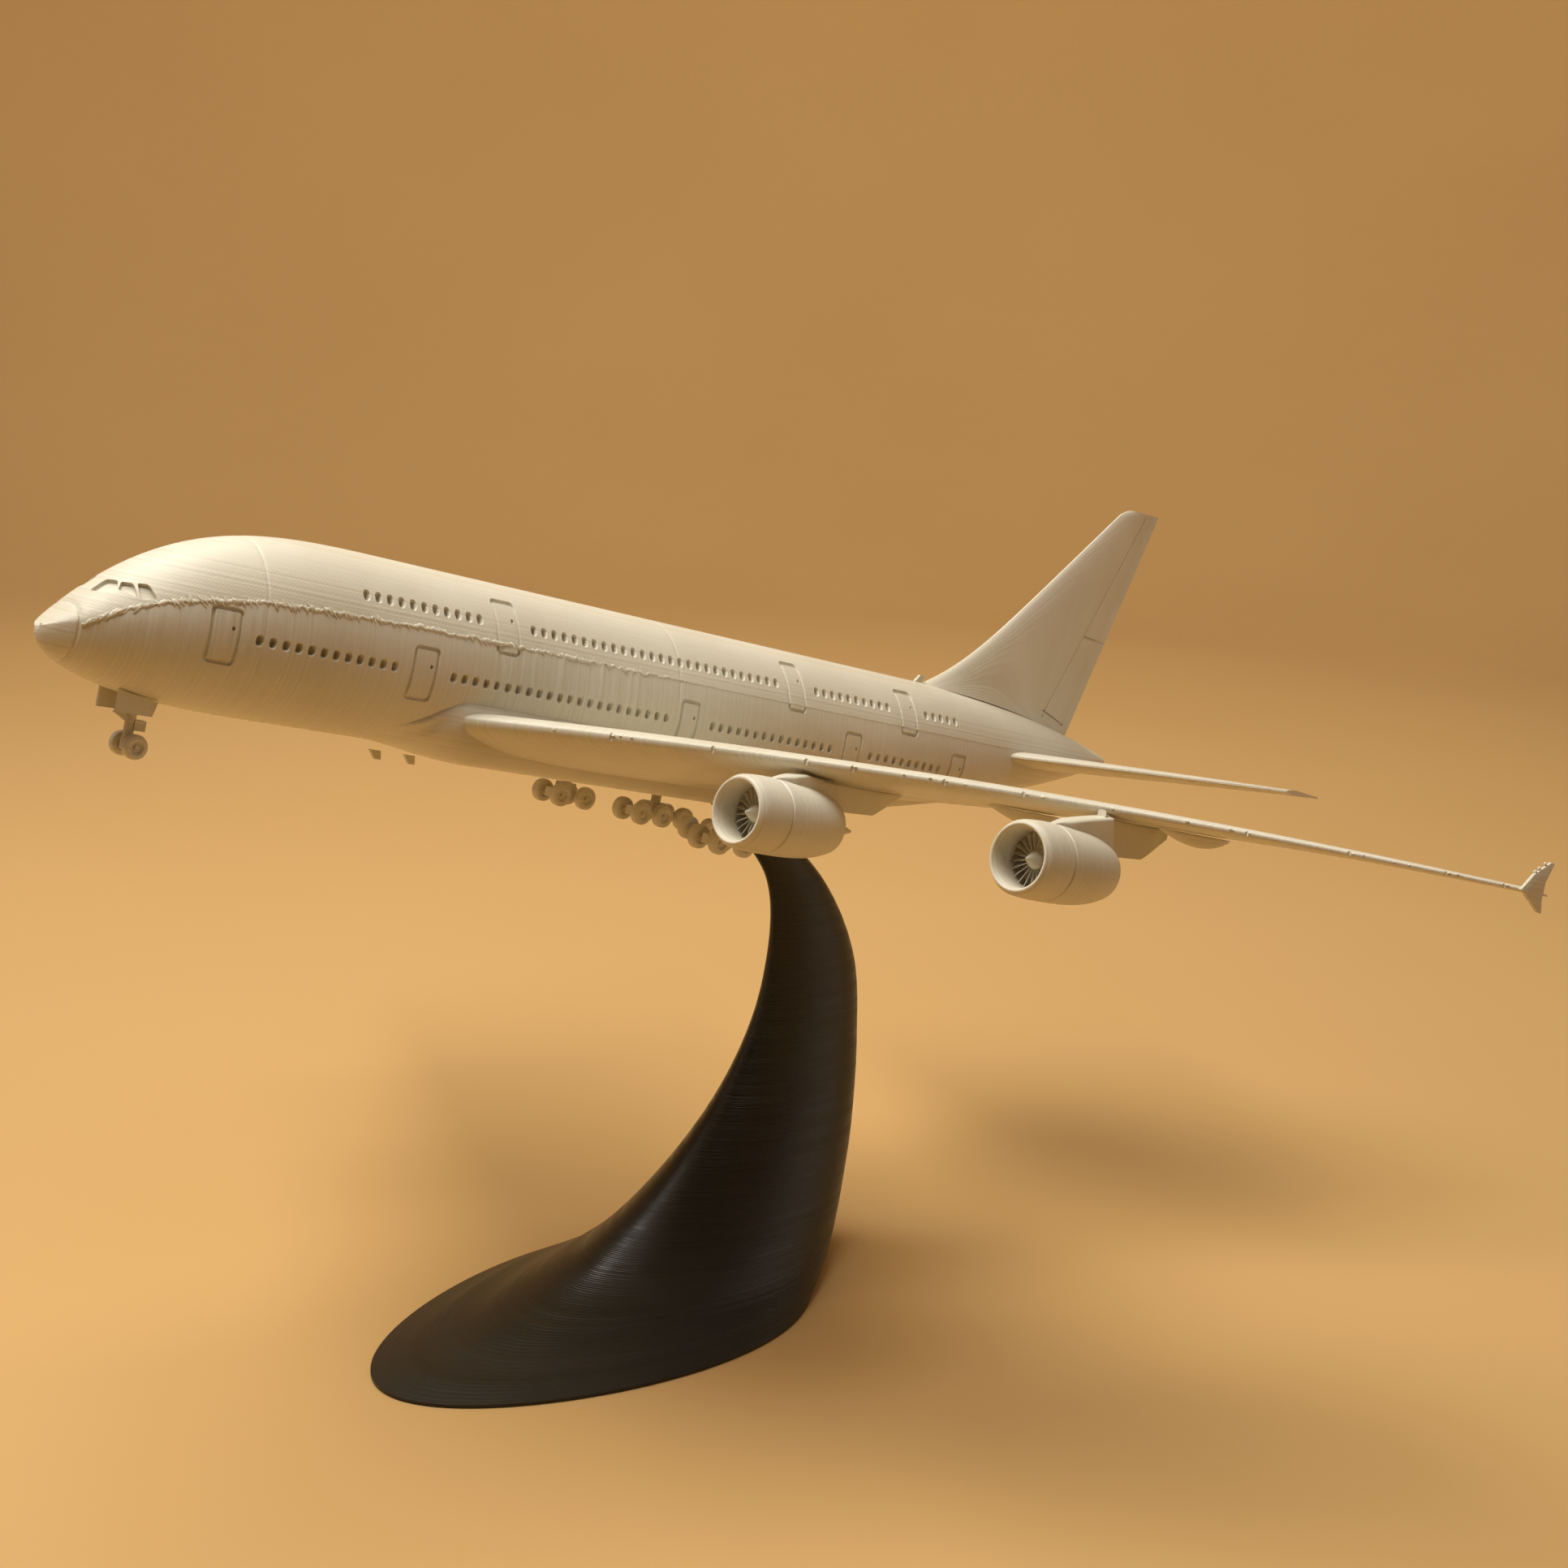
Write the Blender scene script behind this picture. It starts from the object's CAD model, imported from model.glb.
"""Printed desktop airliner on its curved black stand.

Shapes are worked out in millimetres in the aircraft's own frame (x aft from the nose tip, y to
starboard, z up from the middle of the fuselage) with the formulas of the CAD, then pitched nose up
over the stand and turned into metres by on_desk().
"""
import math
import random

import bmesh
import bpy
import numpy as np
from mathutils import Matrix, Vector


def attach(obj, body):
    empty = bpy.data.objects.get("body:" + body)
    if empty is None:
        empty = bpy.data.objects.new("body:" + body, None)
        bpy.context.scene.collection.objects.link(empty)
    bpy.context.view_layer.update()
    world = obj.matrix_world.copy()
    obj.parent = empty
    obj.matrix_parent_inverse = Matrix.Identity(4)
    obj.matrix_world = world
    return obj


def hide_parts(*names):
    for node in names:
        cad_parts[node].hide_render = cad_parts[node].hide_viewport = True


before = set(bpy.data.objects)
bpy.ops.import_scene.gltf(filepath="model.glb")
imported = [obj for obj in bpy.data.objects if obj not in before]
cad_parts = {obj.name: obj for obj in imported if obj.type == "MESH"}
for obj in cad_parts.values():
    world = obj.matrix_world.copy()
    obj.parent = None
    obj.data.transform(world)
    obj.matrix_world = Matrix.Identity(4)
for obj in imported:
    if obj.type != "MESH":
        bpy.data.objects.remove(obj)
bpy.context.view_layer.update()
dice = random.Random(7)

PITCH = math.radians(13)
NOSE_REACH = 151.5
DATUM_HEIGHT = 201
LENGTH = 354.5
SIDES = {"starboard": 1, "port": -1}


# ---------- numbers ----------

def mix(a, b, t):
    return a * (1 - t) + b * t


def clamp(t):
    return np.minimum(np.maximum(t, 0), 1)


def ease(t):
    t = clamp(t)
    return t * t * (3 - 2 * t)


def on_desk(points):
    """Aircraft millimetres to metres on the desk."""
    x, y, z = np.asarray(points, float).T
    c, s = math.cos(PITCH), math.sin(PITCH)
    return np.stack([-NOSE_REACH + x * c + z * s, y, DATUM_HEIGHT - x * s + z * c], 1) * 0.001


# ---------- meshes ----------

def side_faces(rows, n, closed=False):
    """Quads between neighbouring rings of n points; a closed run joins its last ring to its first."""
    i = np.arange(n)
    j = (i + 1) % n
    faces = []
    for row in range(rows if closed else rows - 1):
        a, b = row * n, (row + 1) % rows * n
        faces += np.stack([a + i, a + j, b + j, b + i], 1).tolist()
    return faces


def loft(rings):
    """Closed solid through rings of the same even length; points i and n-1-i pair up on the caps."""
    rings = np.asarray(rings, float)
    m, n, _ = rings.shape
    faces = side_faces(m, n)
    for base, flip in ((0, True), ((m - 1) * n, False)):
        for k in range(n // 2 - 1):
            quad = [base + k, base + k + 1, base + n - 2 - k, base + n - 1 - k]
            faces.append(quad[::-1] if flip else quad)
    return rings.reshape(-1, 3), faces


def prism(rings):
    """Closed solid through rings whose end caps are single faces."""
    rings = np.asarray(rings, float)
    m, n, _ = rings.shape
    faces = side_faces(m, n)
    faces.append(list(range(n))[::-1])
    faces.append([(m - 1) * n + k for k in range(n)])
    return rings.reshape(-1, 3), faces


def hoop(rings):
    """Closed tube: the last ring joins the first."""
    rings = np.asarray(rings, float)
    m, n, _ = rings.shape
    return rings.reshape(-1, 3), side_faces(m, n, closed=True)


def turned(profile, sides=72):
    """Closed profile of (radius, x) turned about the x axis."""
    rings = []
    for k in range(sides):
        a = 2 * math.pi * k / sides
        rings.append([(x, r * math.cos(a), r * math.sin(a)) for r, x in profile])
    return hoop(rings)


def blob(radius):
    """Small rough ball."""
    r = radius
    return turned([(0, -r), (r * 0.7, -r * 0.7), (r, 0), (r * 0.7, r * 0.7), (0, r)], 10)


def slab(low, high):
    """Box between two corners."""
    (x0, y0, z0), (x1, y1, z1) = low, high
    return prism([[(x0, y0, z), (x1, y0, z), (x1, y1, z), (x0, y1, z)] for z in (z0, z1)])


def moved(part, matrix):
    """Part after a 4 by 4 transform."""
    verts, faces = part
    m = np.array(matrix)
    return verts @ m[:3, :3].T + m[:3, 3], faces


def mirrored(part, side):
    """Starboard part as it is (1), or mirrored to port (-1)."""
    verts, faces = part
    return verts * np.array([1, side, 1]), faces


def volume_sign(verts, faces):
    """1 when the faces of a closed mesh face outwards, -1 when they face inwards."""
    total = 0.0
    for f in faces:
        a = verts[f[0]]
        for k in range(1, len(f) - 1):
            total += np.dot(a, np.cross(verts[f[k]], verts[f[k + 1]]))
    return 1 if total > 0 else -1


def joined(parts):
    """One mesh of several closed parts, each turned to face outwards."""
    verts, faces, base = [], [], 0
    for v, f in parts:
        v = np.asarray(v, float)
        centre = v.mean(axis=0)
        if volume_sign(v - centre, f) < 0:
            f = [face[::-1] for face in f]
        verts.append(v)
        faces += [[k + base for k in face] for face in f]
        base += len(v)
    return np.concatenate(verts), faces


def weld(mesh, distance):
    """Merges points of a mesh that lie within a distance of each other."""
    bm = bmesh.new()
    bm.from_mesh(mesh)
    bmesh.ops.remove_doubles(bm, verts=bm.verts, dist=distance)
    bm.to_mesh(mesh)
    bm.free()


def place_in_scene(name, data):
    obj = bpy.data.objects.new(name, data)
    bpy.context.scene.collection.objects.link(obj)
    return obj


def build(name, parts, placed=True):
    """Object of closed parts, in the aircraft's frame when placed, else in the desk's."""
    verts, faces = joined(parts)
    mesh = bpy.data.meshes.new(name)
    mesh.from_pydata((on_desk(verts) if placed else verts * 0.001).tolist(), [], faces)
    weld(mesh, 2e-7)
    return place_in_scene(name, mesh)


def carve(obj, parts, operation="DIFFERENCE"):
    """Cuts closed parts out of obj, or adds them to it."""
    if not parts:
        return
    tool = build(obj.name + "_tool", parts)
    cut = obj.modifiers.new("cut", "BOOLEAN")
    cut.object = tool
    cut.operation = operation
    cut.solver = "MANIFOLD"
    bpy.context.view_layer.update()
    evaluated = obj.evaluated_get(bpy.context.evaluated_depsgraph_get())
    mesh = bpy.data.meshes.new_from_object(evaluated)
    obj.modifiers.clear()
    old = obj.data
    obj.data = mesh
    bpy.data.meshes.remove(old)
    tool_mesh = tool.data
    bpy.data.objects.remove(tool)
    bpy.data.meshes.remove(tool_mesh)


def settle(obj, body, nodes, material, angle=32):
    """Smooths obj, gives it its material, and says which body and CAD nodes it belongs to."""
    obj.data.shade_smooth()
    obj.data.set_sharp_from_angle(angle=math.radians(angle))
    obj.data.materials.clear()
    obj.data.materials.append(material)
    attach(obj, body)
    if nodes:
        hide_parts(*nodes)
    return obj


# ---------- materials ----------

class Nodes:
    """Short hand for one material's node tree."""

    def __init__(self, name):
        self.material = bpy.data.materials.new(name)
        self.material.use_nodes = True
        self.tree = self.material.node_tree
        self.shader = self.tree.nodes["Principled BSDF"]

    def add(self, kind, inputs=(), **settings):
        node = self.tree.nodes.new(kind)
        for key, value in settings.items():
            setattr(node, key, value)
        for key, value in dict(inputs).items():
            if isinstance(value, bpy.types.NodeSocket):
                self.tree.links.new(value, node.inputs[key])
            else:
                node.inputs[key].default_value = value
        return node

    def math(self, operation, a, b=0.0):
        return self.add("ShaderNodeMath", {0: a, 1: b}, operation=operation).outputs[0]

    def colour_mix(self, factor, a, b):
        node = self.add("ShaderNodeMix", {0: factor, 6: a, 7: b}, data_type="RGBA")
        return node.outputs[2]

    def to_shader(self, name, value):
        if isinstance(value, bpy.types.NodeSocket):
            self.tree.links.new(value, self.shader.inputs[name])
        else:
            self.shader.inputs[name].default_value = value


def printed(name, light, dark, rough, direction, layer=0.2, relief=0.035, streak=0.03, grain=0.012):
    """Fused-filament print: fine layer lines across a direction, uneven layers, and a soft mottle."""
    n = Nodes(name)
    place = n.add("ShaderNodeTexCoord").outputs["Object"]
    along = n.add("ShaderNodeVectorMath", {0: place, 1: direction}, operation="DOT_PRODUCT")
    along = n.math("MULTIPLY", along.outputs["Value"], 1000.0)
    warp = n.add("ShaderNodeTexNoise", {"Vector": place, "Scale": 45.0, "Detail": 2.0})
    warped = n.math("ADD", along, n.math("MULTIPLY", warp.outputs["Fac"], 0.35))
    line = n.math("SINE", n.math("MULTIPLY", warped, 2 * math.pi / layer))
    uneven = n.add("ShaderNodeTexNoise", {"W": warped, "Scale": 1.7, "Detail": 3.0},
                   noise_dimensions="1D").outputs["Fac"]
    broad = n.add("ShaderNodeTexNoise", {"W": warped, "Scale": 0.35, "Detail": 1.0},
                  noise_dimensions="1D").outputs["Fac"]
    speck = n.add("ShaderNodeTexNoise", {"Vector": place, "Scale": 1400.0, "Detail": 2.0}).outputs["Fac"]
    mottle = n.add("ShaderNodeTexNoise", {"Vector": place, "Scale": 28.0, "Detail": 4.0}).outputs["Fac"]
    height = n.math("ADD", n.math("MULTIPLY", line, relief), n.math("MULTIPLY", uneven, streak * 6))
    height = n.math("ADD", height, n.math("MULTIPLY", speck, grain * 6))
    bump = n.add("ShaderNodeBump", {"Height": height, "Strength": 0.7, "Distance": 0.0004})
    shade = n.math("ADD", n.math("MULTIPLY", uneven, 0.45), n.math("MULTIPLY", mottle, 0.55))
    shade = n.add("ShaderNodeMapRange", {"Value": shade, "From Min": 0.32, "From Max": 0.68}).outputs[0]
    n.to_shader("Base Color", n.colour_mix(shade, dark, light))
    gloss = n.add("ShaderNodeMapRange", {"Value": broad, "From Min": 0.3, "From Max": 0.7,
                                         "To Min": rough - 0.05, "To Max": rough + 0.07})
    n.to_shader("Roughness", gloss.outputs[0])
    n.tree.links.new(bump.outputs["Normal"], n.shader.inputs["Normal"])
    n.shader.inputs["IOR"].default_value = 1.46
    return n.material


def brushed_steel(name):
    n = Nodes(name)
    place = n.add("ShaderNodeTexCoord").outputs["Object"]
    grain = n.add("ShaderNodeTexNoise", {"Vector": place, "Scale": 900.0, "Detail": 3.0}).outputs["Fac"]
    n.to_shader("Base Color", n.colour_mix(grain, (0.5, 0.5, 0.51, 1), (0.66, 0.66, 0.67, 1)))
    n.to_shader("Roughness", n.add("ShaderNodeMapRange", {"Value": grain, "To Min": 0.25,
                                                           "To Max": 0.42}).outputs[0])
    n.to_shader("Metallic", 1.0)
    return n.material


CREAM = (0.75, 0.71, 0.59, 1)
CREAM_DARK = (0.63, 0.575, 0.44, 1)
AFT = (math.cos(PITCH), 0.0, -math.sin(PITCH))
UP = (math.sin(PITCH), 0.0, math.cos(PITCH))
cream_level = printed("cream_print_level_layers", CREAM, CREAM_DARK, 0.38, UP, relief=0.05, streak=0.045)
cream_rings = printed("cream_print_ring_layers", CREAM, CREAM_DARK, 0.42, AFT, relief=0.05, streak=0.06)
cream_span = printed("cream_print_span_layers", CREAM, CREAM_DARK, 0.36, (0, 1, 0))
cream_small = printed("cream_print_small_parts", CREAM, CREAM_DARK, 0.52, UP, layer=0.15)
black_print = printed("black_print", (0.019, 0.018, 0.013, 1), (0.010, 0.010, 0.007, 1), 0.33,
                      (0, 0, 1), layer=0.3, relief=0.05, streak=0.06)
steel = brushed_steel("steel_pin")


# ---------- fuselage ----------

def nose_growth(x, length, p, q):
    return (1 - clamp(1 - x / length) ** p) ** (1 / q)


def tail_growth(x, start, p):
    return clamp((x - start) / (LENGTH - start)) ** p


def top_z(x):
    return mix(-8.4, 20.35, nose_growth(x, 77, 3.4, 1)) - 9.85 * tail_growth(x, 254, 2.2)


def bottom_z(x):
    return mix(-8.4, -20.25, nose_growth(x, 49, 2.45, 2.16)) + 27.25 * tail_growth(x, 215, 1.6)


def half_width(x):
    return 17.85 * nose_growth(x, 63, 1.94, 1.84) - 15.6 * tail_growth(x, 230, 2)


def widest_z(x):
    return mix(-8.4, -1.5, nose_growth(x, 63, 1.94, 1.84)) + 10.25 * tail_growth(x, 215, 1.6)


def seam(x):
    return 7.2 - 18.5 * np.exp(-np.asarray(x, float) / 17.2)


def reach(x, up, inset=0.0):
    return np.where(up, top_z(x) - widest_z(x), widest_z(x) - bottom_z(x)) - inset


def angle_at(x, z, inset=0.0):
    """Section angle in radians where the skin crosses a height, 0 at the widest line."""
    up = z > widest_z(x)
    return np.arcsin(clamp(np.abs(z - widest_z(x)) / reach(x, up, inset))) * np.where(up, 1, -1)


def skin(x, a, inset=0.0):
    """Points of the section at x for the angles a, 0 at starboard and pi/2 at the crown."""
    a = np.asarray(a, float)
    x = np.broadcast_to(np.asarray(x, float), a.shape)
    up = np.sin(a) > 0
    return np.stack([x, (half_width(x) - inset) * np.cos(a),
                     widest_z(x) + reach(x, up, inset) * np.sin(a)], -1)


def skin_y(x, z):
    h = reach(x, z > widest_z(x))
    return half_width(x) * np.sqrt(np.maximum(0, 1 - ((z - widest_z(x)) / h) ** 2))


def skin_normal(x, a):
    d = 1e-3
    along = skin(x + d, a) - skin(x - d, a)
    round_ = skin(x, a + d) - skin(x, a - d)
    n = np.cross(round_, along)
    return n / np.linalg.norm(n, axis=-1, keepdims=True)


def on_skin(x, z, side, height=0.0):
    """Point over the skin at x and z on one side, height outwards."""
    x = np.asarray(x, float)
    z = np.asarray(z, float)
    a = angle_at(x, z)
    if side < 0:
        a = math.pi - a
    p = skin(x, a)
    n = skin_normal(x, a)
    outwards = np.sign(np.sum(n * (p - np.stack([x, x * 0, widest_z(x)], -1)), -1, keepdims=True))
    return p + n * outwards * np.asarray(height)[..., None]


RADOME_X, NOSE_JOINT, WING_JOINT, TAIL_JOINT = 5.65, 41.0, 157.0, 300.0
SHELL_WALL = 2
RIDGES = [(dice.uniform(98, 156), dice.uniform(0.25, 0.7), dice.uniform(-0.2, 0.2)) for _ in range(44)]
RIDGES += [(dice.uniform(9, 40), dice.uniform(0.3, 0.9), dice.uniform(-0.13, 0.13)) for _ in range(26)]


def ridge_relief(x, z):
    """Rings left by uneven layers on the lower shells, strongest just under the seam."""
    total = 0 * x
    for at, width, height in RIDGES:
        total = total + height * np.exp(-((x - at) / width) ** 2)
    return total * ease((z + 13) / 12)


def joint_inset(x, ends):
    """Skin drawn in a little next to a glued joint."""
    return sum((0.35 if e == RADOME_X else 0.12) * np.exp(-((x - e) / 0.3) ** 2) for e in ends)


def shell_rings(xs, upper, wall, ends, count=56):
    """Sections of the upper or lower half of the fuselage, solid when the wall is 0."""
    rings = []
    for x in xs:
        inset = float(joint_inset(x, ends))
        a = float(angle_at(x, seam(x) - (0 if upper else 0.05), inset))
        t = np.linspace(0, 1, count)
        angles = mix(a, math.pi - a, t) if upper else mix(math.pi - a, 2 * math.pi + a, t)
        outer = skin(x, angles, inset)
        if not upper:
            lift = ridge_relief(np.full(count, x), outer[:, 2])
            outer = skin(x, angles, inset - lift)
        if wall:
            b = float(angle_at(x, seam(x) - (0 if upper else 0.05), wall))
            inner_angles = mix(b, math.pi - b, t) if upper else mix(math.pi - b, 2 * math.pi + b, t)
            rings.append(np.concatenate([outer, skin(x, inner_angles, wall)[::-1]]))
        else:
            rings.append(outer)
    return rings


def stations(start, end, step):
    """Section places, closer together next to each end."""
    xs = np.linspace(start, end, int(round((end - start) / step)) + 1)
    fine = [start + d for d in (0.12, 0.25, 0.4)] + [end - d for d in (0.4, 0.25, 0.12)]
    return sorted(set(np.round(np.concatenate([xs, fine]), 4)))


# ---------- windows and doors ----------

WINDOW_ROWS = [  # height, first x, last x, number
    (11.5, 64.6, 95.2, 11), (11.5, 110.9, 191.5, 27), (11.5, 206.9, 235.4, 10), (11.5, 252.0, 265.2, 5),
    (-2.35, 40.0, 73.0, 12), (-2.35, 88.9, 153.7, 22), (-2.35, 169.4, 212.9, 15), (-2.35, 229.0, 258.8, 10)]
DOORS = [  # x from and to, z from and to
    (29.6, 35.5, -8.25, 2.9), (77.8, 83.9, -8.45, 2.9), (158.3, 164.0, -8.5, 2.6),
    (218.3, 224.4, -8.5, 2.7), (264.0, 270.3, -8.5, 2.3), (100.1, 106.2, 5.25, 16.3),
    (195.9, 201.8, 5.8, 16.9), (240.7, 247.1, 5.5, 16.3)]


def oval(x, z, side, wide, tall, heights, sides=18):
    """Closed plug through the skin: (height, scale) pairs from outside to inside."""
    t = 2 * np.pi * (np.arange(sides) + 0.5) / sides
    squareness = 0.82
    rings = []
    for height, scale in heights:
        dx = np.sign(np.cos(t)) * np.abs(np.cos(t)) ** squareness * wide * scale / 2
        dz = np.sign(np.sin(t)) * np.abs(np.sin(t)) ** squareness * tall * scale / 2
        rings.append(on_skin(x + dx, z + dz, side, np.full(sides, height)))
    return prism(rings)


def rounded_rect(x0, x1, z0, z1, radius=0.7, step=0.5):
    """Points no further than a step apart along a rectangle with round corners."""
    points = []
    corners = [(x1 - radius, z1 - radius, 0), (x0 + radius, z1 - radius, 90),
               (x0 + radius, z0 + radius, 180), (x1 - radius, z0 + radius, 270)]
    for cx, cz, start in corners:
        for k in range(5):
            a = math.radians(start + 22.5 * k)
            points.append((cx + radius * math.cos(a), cz + radius * math.sin(a)))
    dense = []
    for k, p in enumerate(points):
        q = points[(k + 1) % len(points)]
        count = max(1, int(math.dist(p, q) / step))
        dense += [(mix(p[0], q[0], i / count), mix(p[1], q[1], i / count)) for i in range(count)]
    return dense


def outline_groove(outline, side, width, depth, proud=0.4):
    """Closed groove cutter that follows an (x, z) outline on the skin."""
    pts = np.array(outline)
    ahead = np.roll(pts, -1, axis=0) - np.roll(pts, 1, axis=0)
    ahead /= np.linalg.norm(ahead, axis=1, keepdims=True)
    normal = np.stack([ahead[:, 1], -ahead[:, 0]], 1)
    rings = []
    for height, half in ((proud, width * 0.75), (-depth, width * 0.4)):
        for sign in (1, -1):
            p = pts + normal * half * sign
            rings.append(on_skin(p[:, 0], p[:, 1], side, np.full(len(p), height)))
    out_a, out_b, in_a, in_b = rings
    return hoop(np.stack([out_a, out_b, in_b, in_a], 1))


WINDOW_CUT = [(0.7, 1.5), (0.0, 1.2), (-0.35, 0.95), (-1.7, 0.86)]


def in_span(x0, x1, z0, z1, start, end, upper):
    if x1 < start or x0 > end:
        return False
    line = float(seam((x0 + x1) / 2))
    return z1 > line - 0.2 if upper else z0 < line + 0.2


def skin_features(start, end, upper):
    """Cuts for the windows and doors of one shell."""
    cuts = []
    for side in SIDES.values():
        for z, first, last, count in WINDOW_ROWS:
            for k in range(count):
                x = mix(first, last, k / (count - 1))
                if in_span(x - 1.2, x + 1.2, z - 1.6, z + 1.6, start, end, upper):
                    cuts.append(oval(x, z, side, 1.55, 2.15 if z < 5 else 1.95, WINDOW_CUT))
        for x0, x1, z0, z1 in DOORS:
            if in_span(x0, x1, z0, z1, start, end, upper):
                cuts.append(outline_groove(rounded_rect(x0, x1, z0, z1), side, 0.8, 0.6))
                x, z = mix(x0, x1, 0.76), mix(z0, z1, 0.66)
                if in_span(x, x, z, z, start, end, upper):
                    cuts.append(oval(x, z, side, 0.8, 1.0, [(0.7, 1.2), (0, 1), (-0.9, 0.8)], 12))
    return cuts


COCKPIT = [
    [(8.4, -2.35, 1.1), (11.5, -2.2, 3.85), (12.85, -4.7, 3.85), (11.8, -6.7, 1.4), (9.9, -5.4, 0.9)],
    [(13.15, -5.3, 3.7), (14.85, -6.9, 3.8), (15.15, -9.15, 1.1), (12.1, -6.5, 1.85)],
    [(15.5, -7.25, 3.95), (17.3, -8.3, 4.1), (18.75, -10.65, 1.4), (15.45, -9.45, 0.9)]]


def pane(corners, side, depth=0.8):
    """Recess for one cockpit window, its outline laid on the skin."""
    at = []
    for k, p in enumerate(corners):
        q = corners[(k + 1) % len(corners)]
        for i in range(4):
            at.append([mix(p[c], q[c], (i + 0.5) / 4) for c in range(3)])
    rings = []
    at = np.array(at)
    middle = at.mean(axis=0)
    for height, scale in ((0.6, 1.06), (0.0, 1.0), (-depth, 0.93)):
        p = middle + (at - middle) * scale
        x, y, z = p.T
        rise = (z - widest_z(x)) / reach(x, z > widest_z(x))
        a = np.arctan2(rise, side * np.abs(y) / half_width(x))
        surface = skin(x, a)
        n = skin_normal(x, a)
        out = surface - np.stack([x, x * 0, widest_z(x)], -1)
        rings.append(surface + n * np.sign(np.sum(n * out, -1, keepdims=True)) * height)
    return prism(rings)


def body_shell(name, start, end, upper, wall, ends, material):
    """One printed shell with its windows and doors; ends are the joints that draw its skin in."""
    obj = build(name + "_skin", [loft(shell_rings(stations(start, end, 0.5), upper, wall, ends))])
    cuts = skin_features(start, end, upper)
    if start < 20:
        cuts += [pane(c, side) for c in COCKPIT for side in SIDES.values()]
    carve(obj, cuts)
    return settle(obj, "aircraft", [name], material)


nose_ends = [RADOME_X, NOSE_JOINT]
mid_ends = [NOSE_JOINT, WING_JOINT]
body_shell("nose_upper_shell", RADOME_X, NOSE_JOINT, True, 0, nose_ends, cream_level)
body_shell("nose_lower_shell", RADOME_X, NOSE_JOINT, False, 0, nose_ends, cream_rings)
body_shell("mid_upper_shell", NOSE_JOINT, WING_JOINT, True, SHELL_WALL, mid_ends, cream_level)
body_shell("mid_lower_shell", NOSE_JOINT, WING_JOINT, False, SHELL_WALL, mid_ends, cream_rings)
body_shell("rear_upper_shell", WING_JOINT, TAIL_JOINT, True, SHELL_WALL, [WING_JOINT], cream_level)
body_shell("rear_lower_shell", WING_JOINT, TAIL_JOINT, False, SHELL_WALL, [WING_JOINT], cream_rings)


def full_ring(x, count, inset=0.0):
    return skin(x, 2 * np.pi * (np.arange(count) + 0.5) / count, inset)


def radome():
    xs = [mix(0.15, RADOME_X, (k / 40) ** 1.6) for k in range(41)]
    rings = [full_ring(x, 64, 0.45 * math.exp(-((x - RADOME_X) / 0.3) ** 2)) for x in xs]
    nub = turned([(0, -0.35), (0.35, -0.3), (0.6, 0.1), (0.7, 0.8), (0, 0.8)], 20)
    nub = moved(nub, Matrix.Translation((0.75, -0.9, -7.7)))
    obj = build("radome_skin", [loft(rings), nub])
    settle(obj, "aircraft", ["nose_radome"], cream_level)


def tail_cone():
    xs = stations(TAIL_JOINT, LENGTH, 1.0)
    obj = build("tail_cone_skin", [loft([full_ring(x, 96) for x in xs])])
    settle(obj, "aircraft", ["tail_cone"], cream_level)


def glue_tooth(x, side):
    """Short slanted ridge of filler lying across the seam."""
    length = dice.uniform(0.8, 2.1)
    lean = dice.uniform(0.3, 0.9) if x > 17 else dice.uniform(-1.1, -0.5)
    width = dice.uniform(0.2, 0.34)
    height = dice.uniform(0.2, 0.45)
    middle = dice.uniform(-0.45, 0.25)
    rings = []
    for t in np.linspace(-1, 1, 6):
        swell = math.sqrt(max(0.06, 1 - t * t))
        px, pz = x - t * length * lean * 0.5, float(seam(x)) + middle + t * length * 0.5
        w = width * swell
        rows = [(-w, -0.2), (-w * 0.5, height * swell), (w * 0.5, height * swell * 0.9), (w, -0.2)]
        rings.append([on_skin(px + dx, pz, side, h) for dx, h in rows])
    return loft(rings)


def glue_seam(side, name):
    """Jagged bead of glue and filled scars along the joint of the upper and lower shells."""
    xs = np.arange(5.9, 292, 0.35)
    rings = []
    over, under, tooth = 0.3, 0.3, 0.0
    for x in xs:
        rough = float(mix(1.0, 0.2, ease((x - 135) / 40)))
        if dice.random() < 0.4:
            over = dice.uniform(0.12, 0.7)
        if dice.random() < 0.4:
            under = dice.uniform(0.12, 0.6)
        tooth = mix(tooth, dice.uniform(-0.8, 0.8), 0.4)
        high = 0.14 * rough + 0.04 + dice.uniform(0, 0.12) * rough
        z = float(seam(x)) + tooth * 0.7 * rough
        rows = [(over * rough + 0.08, -0.25), (over * rough * 0.7 + 0.05, high * 0.75), (0, high),
                (-under * rough * 0.7 - 0.05, high * 0.6), (-under * rough - 0.08, -0.25), (0, -0.3)]
        rings.append([on_skin(x, z + dz, side, h) for dz, h in rows])
    teeth = [glue_tooth(dice.uniform(6.5, 62), side) for _ in range(80)]
    teeth += [glue_tooth(dice.uniform(62, 140), side) for _ in range(35)]
    obj = build(name, [loft(rings)] + teeth)
    settle(obj, "aircraft", [], cream_small, angle=60)


radome()
tail_cone()
for side_name, side in SIDES.items():
    glue_seam(side, side_name + "_glue_seam")


# ---------- belly fairing ----------

BELLY_Z = -22.3
ROOT_Y = 18.6
FAIRING_FRONT, FAIRING_REAR = 78.0, 236.0
FAIRING_EDGE_Z = -7.3


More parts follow.
